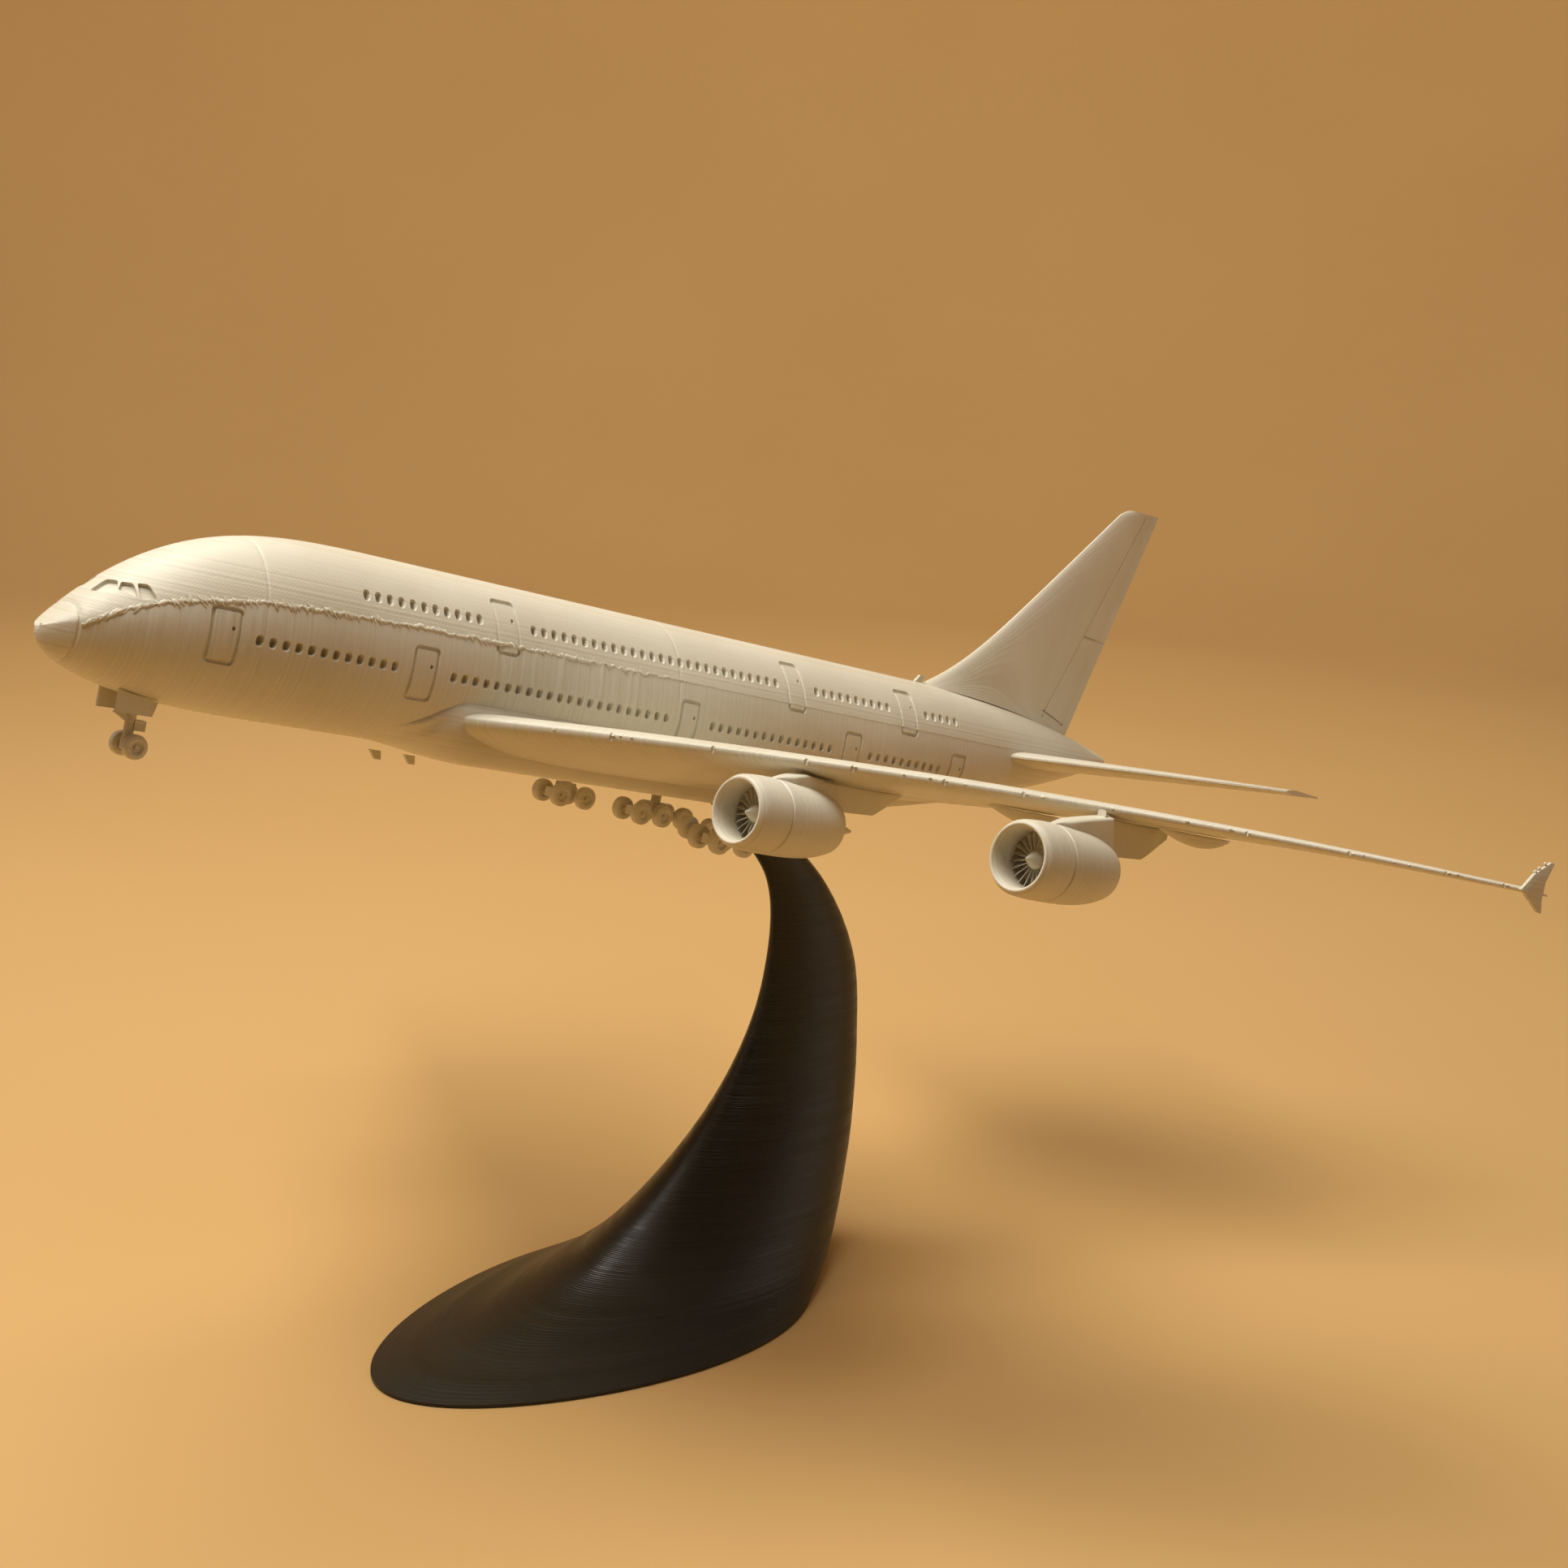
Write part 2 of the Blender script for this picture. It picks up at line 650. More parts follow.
def fairing():
    count = 64
    rings = []
    for k in range(150):
        x = mix(FAIRING_FRONT, FAIRING_REAR, (1 - math.cos(math.pi * k / 149)) / 2)
        ahead, behind = x - FAIRING_FRONT, FAIRING_REAR - x
        full = ease(ahead / 24) * ease(behind / 50)
        edge_z = mix(-15.5, FAIRING_EDGE_Z, ease(ahead / 18) * ease(behind / 40))
        a = float(angle_at(x, edge_z))
        angles = np.linspace(math.pi - a, 2 * math.pi + a, count)
        t = np.pi + np.pi * np.linspace(0, 1, count)
        c, s = np.cos(t), np.abs(np.sin(t))
        outline = np.stack([np.full(count, x), np.sign(c) * (ROOT_Y - 0.15) * np.abs(c) ** 0.45,
                            FAIRING_EDGE_Z + (BELLY_Z - FAIRING_EDGE_Z) * s ** 0.5], -1)
        # The edges sink into the skin, softly ahead of the wing and quickly under it
        softness = mix(0.3, 0.03, ease((ahead - 2) / 16) * ease((behind - 4) / 40))
        edge = np.minimum(np.linspace(0, 1, count), np.linspace(1, 0, count))
        rise = (full * ease(edge / softness))[:, None]
        lip = ease((ahead - 1) / 8) * ease((behind - 4) / 30)
        lip = lip * ease(edge / 0.025) * np.exp(-(edge / 0.12) ** 2)
        rings.append(np.concatenate([mix(skin(x, angles, 0.05 - lip), outline, rise),
                                     skin(x, angles, 0.6)[::-1]]))
    obj = build("belly_fairing_skin", [loft(rings)])
    settle(obj, "aircraft", ["belly_fairing"], cream_level, angle=50)


fairing()


# ---------- wings ----------

KINK_Y, TIP_Y = 72.5, 197.0


def le_x(y):
    return 94.3 + (y - ROOT_Y) * 0.8336


def te_x(y):
    kink, tip = le_x(KINK_Y) + 60, le_x(TIP_Y) + 14
    if y < KINK_Y:
        return mix(184.3, kink, (y - ROOT_Y) / (KINK_Y - ROOT_Y))
    return mix(kink, tip, (y - KINK_Y) / (TIP_Y - KINK_Y))


def le_z(y):
    s = (y - ROOT_Y) / (TIP_Y - ROOT_Y)
    return -11.2 + 13.1 * (1 - (1 - s) ** 2)


def foil_stations(count):
    """Chord fractions, closer together at both edges."""
    return [(1 - math.cos(math.pi * (i + 0.5) / count)) / 2 for i in range(count)]


def foil_half(u):
    """Half thickness of the symmetrical foil for a thickness of one chord."""
    return 5 * (0.2969 * np.sqrt(u) - 0.126 * u - 0.3516 * u ** 2 + 0.2843 * u ** 3 - 0.1036 * u ** 4)


# Thickness ratios at root, kink and tip, then camber, of the upper (1) and lower (-1) skin
SKINS = {1: (0.08, 0.075, 0.07, 0.02), -1: (0.135, 0.105, 0.085, 0.08)}


def wing_point(y, u, up):
    """Point of the upper (1) or lower (-1) skin at a span station and a chord fraction."""
    chord = te_x(y) - le_x(y)
    s = (y - ROOT_Y) / (TIP_Y - ROOT_Y)
    root, kink, tip, camber = SKINS[up]
    if y < KINK_Y:
        ratio = mix(root, kink, (y - ROOT_Y) / (KINK_Y - ROOT_Y))
    else:
        ratio = mix(kink, tip, (y - KINK_Y) / (TIP_Y - KINK_Y))
    twist = math.sin(math.radians(mix(4, 2, s)))
    rise = chord * (camber * u * (1 - u) + up * ratio * foil_half(u) - u * twist)
    return np.array([le_x(y) + chord * u, y, le_z(y) + rise + up * 0.15])


def wing_under(x, y):
    u = clamp((x - le_x(y)) / (te_x(y) - le_x(y)))
    return wing_point(y, float(u), -1)[2]


def wing_groove(path, up, width=0.4, depth=0.3):
    """Open groove cutter along (y, u) points on one skin of the wing."""
    pts = [wing_point(y, u, up) for y, u in path]
    dense = []
    for p, q in zip(pts[:-1], pts[1:]):
        count = max(2, int(np.linalg.norm(q - p) / 2))
        dense += [mix(p, q, i / count) for i in range(count)]
    dense.append(pts[-1])
    rings = []
    for k, p in enumerate(dense):
        q, r = dense[max(k - 1, 0)], dense[min(k + 1, len(dense) - 1)]
        ahead = (r - q) / np.linalg.norm(r - q)
        across = np.cross(ahead, (0, 0, 1))
        across /= np.linalg.norm(across)
        u = float(clamp((p[0] - le_x(p[1])) / (te_x(p[1]) - le_x(p[1]))))
        base = wing_point(p[1], u, up)
        rise = np.array([0, 0, up])
        rings.append([base + across * width * 0.6 + rise * 0.6, base - across * width * 0.6 + rise * 0.6,
                      base - across * width * 0.4 - rise * depth, base + across * width * 0.4 - rise * depth])
    return loft(rings)


SLAT_ENDS = [43.5, 61, 77, 85, 100.6, 114, 151.6, 168.7, 184.8, 194.4]
FLAP_CUTS = [24, 70, 72.6, 118, 121, 140, 159, 178]
FLAP_HINGE, SLAT_HINGE = 0.74, 0.16
FLAP_TRACKS = [  # y, x from and to, depth
    (47, 160, 197, 4.2), (97, 184, 215, 3.6), (133, 199, 229, 3)]


def wing(side_name, side):
    ys = list(np.linspace(ROOT_Y - 1.4, KINK_Y, 41)) + list(np.linspace(KINK_Y, TIP_Y, 90))[1:]
    us = foil_stations(44)
    rings = [[wing_point(y, u, 1) for u in us] + [wing_point(y, u, -1) for u in us[::-1]] for y in ys]
    cuts = []
    for y in SLAT_ENDS:
        p = wing_point(y, 0.0, 1)
        cuts.append(slab((p[0] - 1, y - 0.3, p[2] - 1.2), (p[0] + 0.45, y + 0.3, p[2] + 0.9)))
    for up in (1, -1):
        for y0, y1 in zip(FLAP_CUTS[0::2], FLAP_CUTS[1::2]):
            path = [(y0, 0.985), (y0, FLAP_HINGE), (y1, FLAP_HINGE), (y1, 0.985)]
            cuts.append(wing_groove(path, up))
    cuts.append(wing_groove([(SLAT_ENDS[0], SLAT_HINGE), (194, SLAT_HINGE)], 1))
    obj = build(side_name + "_wing_skin", [mirrored(loft(rings), side)])
    carve(obj, [mirrored(p, side) for p in cuts])
    settle(obj, "aircraft", [side_name + "_wing"], cream_span)

    blobs = []
    for y in SLAT_ENDS + [dice.uniform(30, 196) for _ in range(16)]:
        p = wing_point(y + dice.uniform(0.2, 0.7), 0.0, 1)
        ball = blob(dice.uniform(0.18, 0.42))
        shift = Matrix.Translation((p[0] + 0.1, p[1], p[2] + dice.uniform(-0.1, 0.3)))
        blobs.append(moved(ball, shift @ Matrix.Diagonal((1, 1.6, 0.8, 1))))
    obj = build(side_name + "_wing_print_blobs", [mirrored(p, side) for p in blobs])
    settle(obj, "aircraft", [], cream_small, angle=60)


def fence(side_name, side):
    x, z = le_x(TIP_Y), le_z(TIP_Y)
    outline = [(-1, 0), (3.5, 3.6), (10.5, 6.9), (12, 6.9), (9.6, 2.6), (9.6, -1.8), (10.8, -4.4),
               (9.4, -4.4), (3, -1.6)]
    middle = np.mean(outline, axis=0)
    rings = []
    for y, inset in ((TIP_Y + 0.1, 0.94), (TIP_Y + 0.25, 1.0), (TIP_Y + 0.85, 1.0), (TIP_Y + 1.0, 0.94)):
        ring = []
        for px, pz in outline:
            ring.append((x + mix(middle[0], px, inset), y, z + mix(middle[1], pz, inset)))
        rings.append(ring)
    blobs = []
    for px, pz in ((6, 5.2), (8.4, 6.4), (9.8, -3), (4.5, 4.3), (11.6, 6.2)):
        ball = blob(dice.uniform(0.25, 0.45))
        blobs.append(moved(ball, Matrix.Translation((x + px, TIP_Y + 0.4, z + pz))))
    obj = build(side_name + "_wing_fence_skin", [mirrored(p, side) for p in [prism(rings)] + blobs])
    settle(obj, "aircraft", [side_name + "_wing_fence"], cream_small)


def flap_tracks(side_name, side):
    parts = []
    count = 28
    for y, x0, x1, deep in FLAP_TRACKS:
        rings = []
        for k in range(50):
            f = mix(0.02, 0.98, k / 49)
            x = mix(x0, x1, f)
            depth = deep * math.sin(math.pi * f ** 1.3) ** 0.7
            wide = 1.7 * math.sin(math.pi * f) ** 0.5
            top = wing_under(min(x, te_x(y) - 1), y) - 0.3
            a = np.pi * (np.arange(count) + 0.5) / count
            rings.append(np.stack([np.full(count, x), y - wide * np.cos(a), top - depth * np.sin(a)], -1))
        parts.append(loft(rings))
    obj = build(side_name + "_flap_tracks_skin", [mirrored(p, side) for p in parts])
    settle(obj, "aircraft", [side_name + "_flap_track_fairings"], cream_small)


for side_name, side in SIDES.items():
    wing(side_name, side)
    fence(side_name, side)
    flap_tracks(side_name, side)


# ---------- fin and tailplanes ----------

def thin_foil(u, chord):
    return max(0.25, chord * 0.085 * float(foil_half(u)))


def fin_edges(s):
    """Leading and trailing x at a height fraction, with a swept foot and a rounded tip corner."""
    return mix(272, 340.4, s) - 9 * (1 - s) ** 8 + 2.5 * max(0, (s - 0.96) / 0.04) ** 2, mix(334, 357.4, s)


def fin_point(s, u, side):
    lead, tail = fin_edges(s)
    foot = float(top_z(mix(263, 334, u))) - 0.3
    fillet = 0.9 * max(0, 1 - s / 0.09) ** 2 * math.sqrt(4 * u * (1 - u))
    half = thin_foil(u, tail - lead) + fillet
    return np.array([mix(lead, tail, u), side * half, mix(foot, 87.3 + 0.8 * u, s)])


def fin_groove(start, end, side, width, depth):
    """Straight groove cutter from one (x, z) point to another on one face of the fin."""
    (x0, z0), (x1, z1) = start, end
    size = math.hypot(x1 - x0, z1 - z0)
    ax, az = (z1 - z0) / size * width / 2, -(x1 - x0) / size * width / 2
    rings = []
    for t in np.linspace(0, 1, 12):
        x, z = mix(x0, x1, t), mix(z0, z1, t)
        lead, tail = fin_edges(float(clamp((z - 15) / 73)))
        half = thin_foil(clamp((x - lead) / (tail - lead)), tail - lead)
        over, under = side * (half + 0.5), side * max(half - depth, 0.08)
        rings.append([(x + ax, over, z + az), (x - ax, over, z - az),
                      (x - ax * 0.8, under, z - az * 0.8), (x + ax * 0.8, under, z + az * 0.8)])
    return loft(rings)


def fin():
    us = foil_stations(40)
    ss = [*np.linspace(0, 0.2, 12), *np.linspace(0.22, 0.95, 36), *np.linspace(0.96, 1, 8)]
    rings = [[fin_point(s, u, 1) for u in us[::-1]] + [fin_point(s, u, -1) for u in us] for s in ss]
    obj = build("fin_skin", [loft(rings)])
    cuts = []
    for side in (1, -1):
        cuts.append(fin_groove((319.0, 18.5), (350.6, 86.7), side, 0.3, 0.15))
        cuts.append(fin_groove((331.7, 45.5), (343.4, 45.2), side, 0.7, 0.5))
        cuts.append(fin_groove((318.9, 20.6), (331.5, 17.4), side, 0.6, 0.45))
    carve(obj, cuts)
    settle(obj, "aircraft", ["fin"], cream_span)


def tailplane(side_name, side):
    us = foil_stations(36)

    def point(s, u, up):
        lead, tail = mix(293, 342.5, s), mix(345, 360, s)
        x, z = mix(lead, tail, u), mix(5, 12, s) + up * thin_foil(u, tail - lead)
        return np.array([x, mix(float(skin_y(x, z)) - 0.3, 76, s), z])

    rings = [[point(s, u, 1) for u in us] + [point(s, u, -1) for u in us[::-1]]
             for s in np.linspace(0, 1, 60)]
    cuts = []
    for up in (1, -1):
        path = [point(s, 0.7, up) for s in np.linspace(0.06, 0.97, 24)]
        rise = np.array([0, 0, up])
        back = np.array([0.2, 0, 0])
        cuts.append(loft([[p + back + rise * 0.5, p - back + rise * 0.5, p - back - rise * 0.25,
                           p + back - rise * 0.25] for p in path]))
    obj = build(side_name + "_tailplane_skin", [mirrored(loft(rings), side)])
    carve(obj, [mirrored(p, side) for p in cuts])
    settle(obj, "aircraft", [side_name + "_tailplane"], cream_span)


fin()
for side_name, side in SIDES.items():
    tailplane(side_name, side)


# ---------- engines ----------

# Middle of each starboard intake lip
ENGINES = {"inner": (126.5, 75.4, -17.1), "outer": (158.5, 128.0, -13.4)}
DROOP = math.radians(1.5)
NACELLE_LENGTH, NACELLE_RADIUS, COWL_SPLIT, COWL_SHOULDER = 29.0, 8.5, 9.4, 9.0
INTAKE_BORE, FAN_X, HUB_RADIUS, SHAFT_BORE, BLADES = 6.3, 7, 1.9, 0.85, 22


def nacelle_r(x):
    """Outer radius of the nacelle at a distance behind its lip."""
    if x < COWL_SHOULDER:
        return NACELLE_RADIUS * math.sqrt(1 - ((COWL_SHOULDER - x) / 20) ** 2.6)
    return NACELLE_RADIUS * math.sqrt(1 - ((x - COWL_SHOULDER) / 25.65) ** 3)


def at_engine(part, place, side):
    turn = Matrix.Rotation(DROOP, 4, "Y")
    return mirrored(moved(part, Matrix.Translation(place) @ turn), side)


def intake_cowl():
    lip = [(7.15 - 0.45 * math.cos(a), 0.45 - 0.45 * math.sin(a)) for a in np.linspace(0, math.pi, 9)]
    outer = [(nacelle_r(x), x) for x in np.linspace(1.2, COWL_SPLIT - 0.3, 22)]
    edge = nacelle_r(COWL_SPLIT)
    bore = [(INTAKE_BORE, COWL_SPLIT), (INTAKE_BORE, 6), (INTAKE_BORE, 2.2), (INTAKE_BORE + 0.2, 0.9)]
    return turned(bore + lip + outer
                  + [(edge - 0.15, COWL_SPLIT - 0.1), (edge - 0.4, COWL_SPLIT)], 96)


def rear_cowl():
    start = COWL_SPLIT + 0.2
    edge = nacelle_r(start)
    outer = [(nacelle_r(x), x) for x in np.linspace(start + 0.3, NACELLE_LENGTH, 40)]
    inner = [(nacelle_r(x) - 0.9, x) for x in np.linspace(NACELLE_LENGTH, 20, 12)]
    return turned([(1.6, start), (edge - 0.4, start), (edge - 0.15, start + 0.1)] + outer + inner
                  + [(6.5, start + 2), (1.6, start + 2)], 96)


def fan_blades():
    blades = []
    for i in range(BLADES):
        rings = []
        for r in np.linspace(1.6, 6.12, 9):
            t = (r - 1.6) / 4.5
            twist = math.radians(mix(14, 34, t))
            chord = mix(1.6, 2.0, t)
            ring = []
            for u in np.linspace(-1, 1, 7):
                ring.append((u * chord / 2, 0.13 * (1 - 0.7 * u * u) + 0.1 * (1 - u * u)))
            ring += [(u, v - 0.26 * (1 - 0.7 * (2 * u / chord) ** 2)) for u, v in ring[::-1]]
            ring = [(FAN_X + u * math.cos(twist), u * math.sin(twist) + v, r) for u, v in ring]
            rings.append(ring)
        blades.append(moved(loft(rings), Matrix.Rotation(2 * math.pi * i / BLADES, 4, "X")))
    return blades


def spinner():
    """Pointed cone and hub, with the shaft's bore open to the rear."""
    profile = [(0.0, 3.0), (0.15, 3.02), (0.6, 3.7), (1.0, 4.4), (1.4, 5.1), (1.75, 5.75),
               (HUB_RADIUS, 6.1), (HUB_RADIUS, 8.6), (SHAFT_BORE, 8.6), (SHAFT_BORE, 5.75), (0.0, 5.7)]
    return turned(profile, 48)


def strut(y, rows):
    """Upright plate with rounded top edges through rows of (x, bottom, top, half width)."""
    rings = []
    for x, low, high, half in rows:
        low = min(low, high - 0.15)
        soft = min(0.7, (high - low) * 0.4, half * 0.6)
        ring = []
        for sign, angles in ((1, np.linspace(0, math.pi / 2, 5)), (-1, np.linspace(math.pi / 2, math.pi, 5))):
            for a in angles:
                ring.append((x, y + sign * (half - soft) + soft * math.cos(a),
                             high - soft + soft * math.sin(a)))
        ring += [(x, y - half, mix(high - soft, low, k / 4)) for k in range(1, 5)]
        ring += [(x, y + half, mix(low, high - soft, k / 4)) for k in range(0, 4)]
        rings.append(ring)
    return prism(rings)


def pylon(place):
    """Broad front fairing rising from the nacelle's top, and the slim plate behind it."""
    x0, y, z0 = place

    def saddle(d, half):
        """Just inside the nacelle's skin under the plate's edge."""
        return z0 - d * math.sin(DROOP) + math.sqrt((nacelle_r(d) - 0.3) ** 2 - half ** 2)

    def under(d, half):
        return min(wing_under(x0 + d, y + side * half) for side in (-1, 0, 1)) - 0.15

    front = []
    for d in np.linspace(9.2, 28, 40):
        half = 2.2 * (0.35 + 0.65 * float(ease((d - 9) / 6)))
        top = min(z0 + 8 + 3.7 * ((d - 9) / 19) ** 0.68, under(d, half))
        front.append((x0 + d, saddle(d, half), top, half))
    top = front[-1][2]
    for d, low in ((28.9, saddle(28.9, 2.2)), (29.3, z0 + 3.1), (30.4, z0 + 3.0)):
        front.append((x0 + d, low, mix(top, z0 + 3.2, (d - 28) / 2.5), 2.2))
    rear = []
    for d in np.linspace(26, 51.8, 50):
        half = 1.1 * (0.4 + 0.6 * float(ease((52 - d) / 8)))
        if d < NACELLE_LENGTH:
            low = saddle(d, half)
        else:
            low = z0 + float(np.interp(d, (29, 33.5, 42.6, 50, 52), (3.8, 3.2, 3.5, 7.8, 9.0)))
        rear.append((x0 + d, low, under(d, half), half))
    return [strut(y, front), strut(y, rear)]


def engine(side_name, side, which):
    place = ENGINES[which]
    name = side_name + "_" + which
    cowl = build(name + "_intake_cowl_skin", [at_engine(intake_cowl(), place, side)])
    settle(cowl, "aircraft", [name + "_intake_cowl"], cream_rings)
    cowl = build(name + "_rear_cowl_skin", [at_engine(rear_cowl(), place, side)])
    settle(cowl, "aircraft", [name + "_rear_cowl"], cream_rings)
    fan = build(name + "_fan_blades", [at_engine(p, place, side) for p in [spinner()] + fan_blades()])
    settle(fan, name + "_fan", [name + "_fan"], cream_small)
    plates = build(name + "_pylon_skin", [mirrored(p, side) for p in pylon(place)])
    settle(plates, "aircraft", [name + "_pylon"], cream_span, angle=40)


for side_name, side in SIDES.items():
    for which in ENGINES:
        engine(side_name, side, which)


# ---------- wheels ----------

def wheel_pair(offset, radius, width):
    """Two tyres with dished hubs on one axle along y."""
    parts = []
    for end in (-1, 1):
        half = width / 2
        profile = [(0.38, -half * 0.45), (radius * 0.42, -half * 0.45), (radius * 0.5, -half * 0.75),
                   (radius * 0.62, -half), (radius * 0.85, -half * 0.98), (radius * 0.96, -half * 0.8),
                   (radius, -half * 0.45), (radius, -half * 0.1), (radius * 0.985, 0),
                   (radius, half * 0.1), (radius, half * 0.45), (radius * 0.96, half * 0.8),
                   (radius * 0.85, half * 0.98), (radius * 0.62, half), (radius * 0.5, half * 0.75),
                   (radius * 0.42, half * 0.45), (0.38, half * 0.45)]
        tyre = moved(turned(profile, 48), Matrix.Rotation(math.pi / 2, 4, "Z"))
        parts.append(moved(tyre, Matrix.Translation((0, end * offset, 0))))
    reach_y = offset + width / 2
    axle = turned([(0, -reach_y), (0.42, -reach_y), (0.5, -reach_y + 0.1), (0.5, reach_y - 0.1),
                   (0.42, reach_y), (0, reach_y)], 24)
    return parts + [moved(axle, Matrix.Rotation(math.pi / 2, 4, "Z"))]


def wheels(node, place, offset, radius, width):
    parts = [moved(p, Matrix.Translation(place)) for p in wheel_pair(offset, radius, width)]
    obj = build(node + "_tyres", parts)
    settle(obj, node, [node], cream_small)


wheels("nose_wheels", (24.6, 0, -29.1), 2.75, 2.65, 2.0)
for side_name, side in SIDES.items():
    for gear, y, axles in (("wing", 31, (163.5, 172.0)), ("body", 13, (176.5, 184.0, 191.5))):
        for k, x in enumerate(axles):
            node = "%s_%s_gear_wheels_%d" % (side_name, gear, k + 1)
            wheels(node, (x, side * y, -29), 3.75, 3.0, 2.4)


# ---------- stand ----------

def on_desk_mm(x, z):
    p = on_desk([(x, 0, z)])[0] * 1000
    return p[0], p[2]


def through(rows, t):
    """Catmull-Rom value at t through evenly weighted rows."""
    n = len(rows) - 1
    i = min(int(t * n), n - 1)
    f = t * n - i
    a, b, c, d = (np.array(rows[max(i - 1, 0)]), np.array(rows[i]), np.array(rows[i + 1]),
                  np.array(rows[min(i + 2, n)]))
    return 0.5 * (2 * b + (c - a) * f + (2 * a - 5 * b + 4 * c - d) * f * f
                  + (3 * b - a - 3 * c + d) * f ** 3)


def stand():
    """Curved stand: near-oval sections that shrink and climb from the foot to the belly."""
    top_f, top_r = on_desk_mm(191, BELLY_Z - 0.25), on_desk_mm(210.5, BELLY_Z - 0.25)
    rows = [  # front x and z, rear x and z, half width
        (-70, 1, 63, 1, 40), (-60, 2.6, 71.5, 6, 34), (-39, 5.8, 77.5, 13, 27.6),
        (-8, 14.3, 81.5, 25, 22.2), (21, 33.5, 85.5, 40, 16.4), (42, 57, 88, 62, 10.56),
        (53, 83, 86, 86, 6.8), (52, 112, 73, 109, 4.16), (*top_f, *top_r, 3.36)]
    count = 128
    rings = []

    def ring(t, inset=0.0, drop=0.0):
        fx, fz, rx, rz, b = through(rows, t)
        a = 2 * np.pi * (np.arange(count) + 0.5) / count
        f = (1 + np.cos(a)) / 2
        x = mix(rx - inset, fx + inset, f)
        y = -(b - inset) * np.sin(a) * (1 - 0.18 * np.cos(a))
        return np.stack([x, y, mix(rz, fz, f) - drop], -1)

    rings.append(ring(0, 0.25, 1.0))
    rings.append(ring(0, 0.0, 0.75))
    for k in range(0, 181):
        rings.append(ring(k / 180))
    obj = build("stand_body", [loft(rings)], placed=False)
    plug = slab((194, -1.8, BELLY_Z - 0.25), (207, 1.8, BELLY_Z + 9.75))
    carve(obj, [plug], "UNION")
    settle(obj, "display_stand", ["stand"], black_print, angle=50)


stand()


# ---------- carried-over CAD nodes ----------

KEPT = {"stand_socket": cream_small, "wing_joiner_rods": steel, "tail_dowels": steel, "antennas": cream_small,
        "nose_gear_leg": cream_small, "nose_gear_doors": cream_small}
for side_name in SIDES:
    KEPT[side_name + "_wing_gear_leg"] = cream_small
    KEPT[side_name + "_body_gear_leg"] = cream_small
    for which in ENGINES:
        KEPT["%s_%s_engine_core" % (side_name, which)] = cream_small
for node, material in KEPT.items():
    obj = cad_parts[node]
    obj.data.materials.clear()
    obj.data.materials.append(material)


# ---------- stage, light and camera ----------

def backdrop():
    """Round pale floor that curves up into a wall all round."""
    flat, curve, height = 1.5, 0.7, 2.6
    profile = [(0.0, 0.0), (flat, 0.0)]
    for a in np.linspace(0.1, math.pi / 2, 14):
        profile.append((flat + curve * math.sin(a), curve - curve * math.cos(a)))
    profile.append((flat + curve, height))
    verts, faces = [], []
    sides = 96
    for r, z in profile:
        for k in range(sides):
            a = 2 * math.pi * k / sides
            verts.append((r * math.cos(a), r * math.sin(a), z))
    for row in range(len(profile) - 1):
        for k in range(sides):
            j = (k + 1) % sides
            faces.append((row * sides + k, row * sides + j, (row + 1) * sides + j, (row + 1) * sides + k))
    mesh = bpy.data.meshes.new("backdrop")
    mesh.from_pydata(verts, [], faces)
    weld(mesh, 1e-6)
    mesh.shade_smooth()
    obj = place_in_scene("backdrop", mesh)
    n = Nodes("pale_paper")
    place = n.add("ShaderNodeTexCoord").outputs["Object"]
    mottle = n.add("ShaderNodeTexNoise", {"Vector": place, "Scale": 3.0, "Detail": 2.0}).outputs["Fac"]
    n.to_shader("Base Color", n.colour_mix(mottle, (0.59, 0.36, 0.13, 1), (0.64, 0.40, 0.155, 1)))
    n.to_shader("Roughness", 0.9)
    mesh.materials.append(n.material)


def area_light(name, place, target, size, power, colour):
    data = bpy.data.lights.new(name, "AREA")
    data.shape = "RECTANGLE"
    data.size, data.size_y = size
    data.energy = power
    data.color = colour
    obj = place_in_scene(name, data)
    obj.location = place
    direction = np.array(target, float) - np.array(place, float)
    obj.rotation_euler = Vector(direction).to_track_quat("-Z", "Y").to_euler()
    obj.visible_camera = False


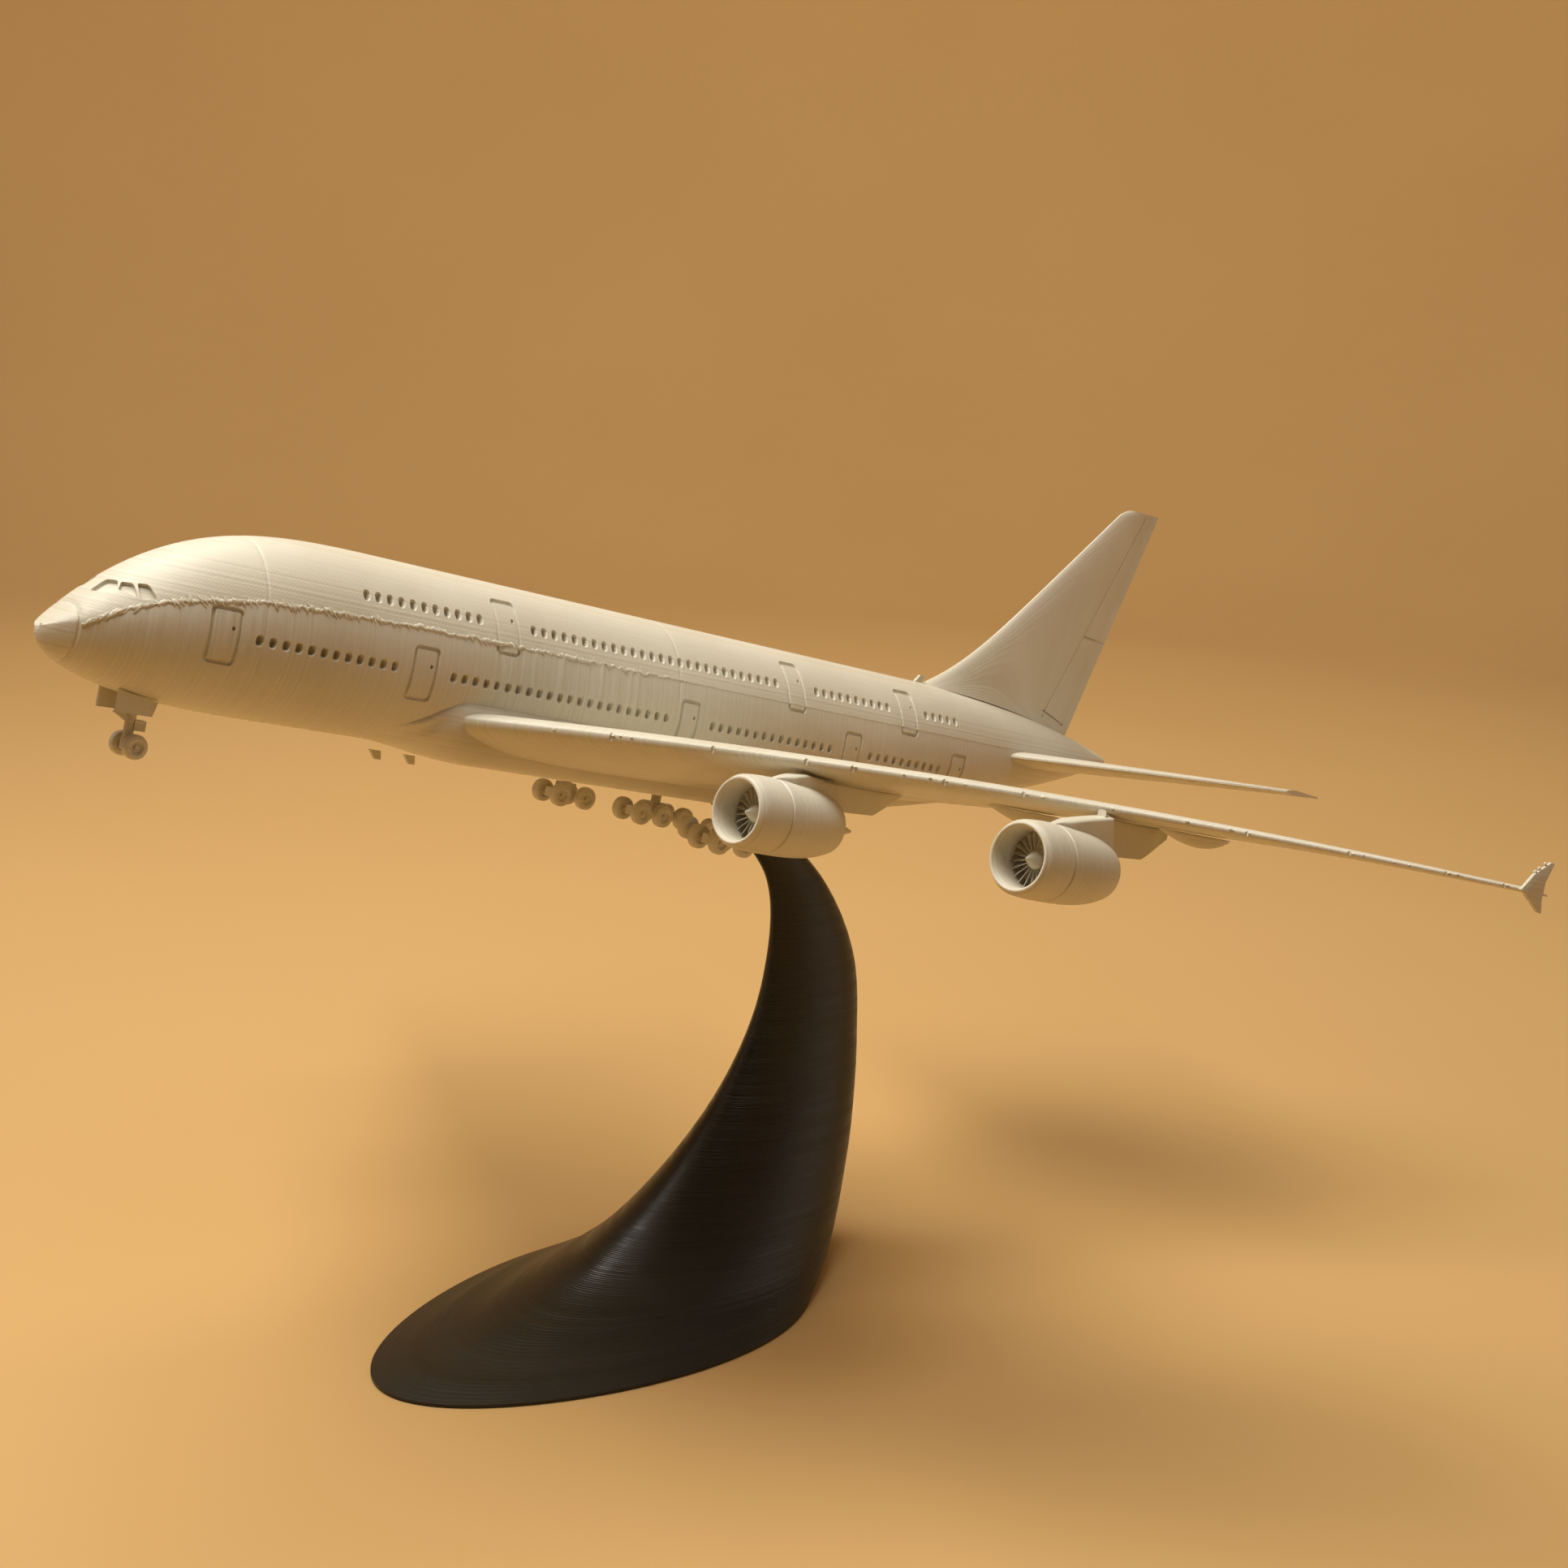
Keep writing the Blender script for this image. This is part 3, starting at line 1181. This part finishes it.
def surroundings():
    """Dim even light from all round."""
    world = bpy.data.worlds.new("studio")
    world.use_nodes = True
    world.node_tree.nodes["Background"].inputs["Color"].default_value = (0.9, 0.86, 0.8, 1)
    world.node_tree.nodes["Background"].inputs["Strength"].default_value = 0.15
    bpy.context.scene.world = world
    bpy.context.scene.view_settings.view_transform = "Standard"


def camera():
    """Camera ahead of the port wing and just above the model, looking slightly down at it."""
    data = bpy.data.cameras.new("camera")
    data.sensor_width = 36
    data.lens = 48.68
    data.clip_start, data.clip_end = 0.01, 20
    obj = place_in_scene("camera", data)
    right = (0.71842, -0.69381, 0.04995)
    up = (0.10757, 0.18176, 0.97744)
    back = (-0.68724, -0.69684, 0.20522)
    turn = Matrix((right, up, back)).transposed().to_4x4()
    obj.matrix_world = Matrix.Translation((-0.33866, -0.40074, 0.25587)) @ turn
    bpy.context.scene.camera = obj


def flag_card():
    """Black card behind the camera, which keeps light off the side that faces it."""
    mesh = bpy.data.meshes.new("flag_card")
    half_wide, half_tall = 0.35, 0.7
    corners = [(-half_wide, -half_tall, 0), (half_wide, -half_tall, 0),
               (half_wide, half_tall, 0), (-half_wide, half_tall, 0)]
    mesh.from_pydata(corners, [], [(0, 1, 2, 3)])
    obj = place_in_scene("flag_card", mesh)
    obj.location = (-0.62, -0.69, 0.4)
    obj.rotation_euler = Vector((-0.687, -0.697, 0.1)).to_track_quat("Z", "Y").to_euler()
    obj.visible_camera = False
    n = Nodes("black_card")
    n.to_shader("Base Color", (0.004, 0.004, 0.004, 1))
    n.to_shader("Roughness", 0.95)
    mesh.materials.append(n.material)


backdrop()
flag_card()
area_light("overhead", (-0.2, 0.1, 1.0), (0, 0, 0.15), (0.7, 0.7), 13.0, (1.0, 0.97, 0.9))
area_light("left", (-1.0, 0.6, 0.55), (0, 0, 0.14), (0.8, 1.2), 0.9, (1.0, 0.95, 0.86))
area_light("right", (0.85, -0.95, 0.5), (0, 0, 0.12), (0.7, 1.2), 1.6, (1.0, 0.95, 0.86))
area_light("behind", (0.4, 0.4, 1.5), (1.8, 1.8, 0.9), (1.2, 1.2), 16, (1.0, 0.95, 0.86))
surroundings()
camera()
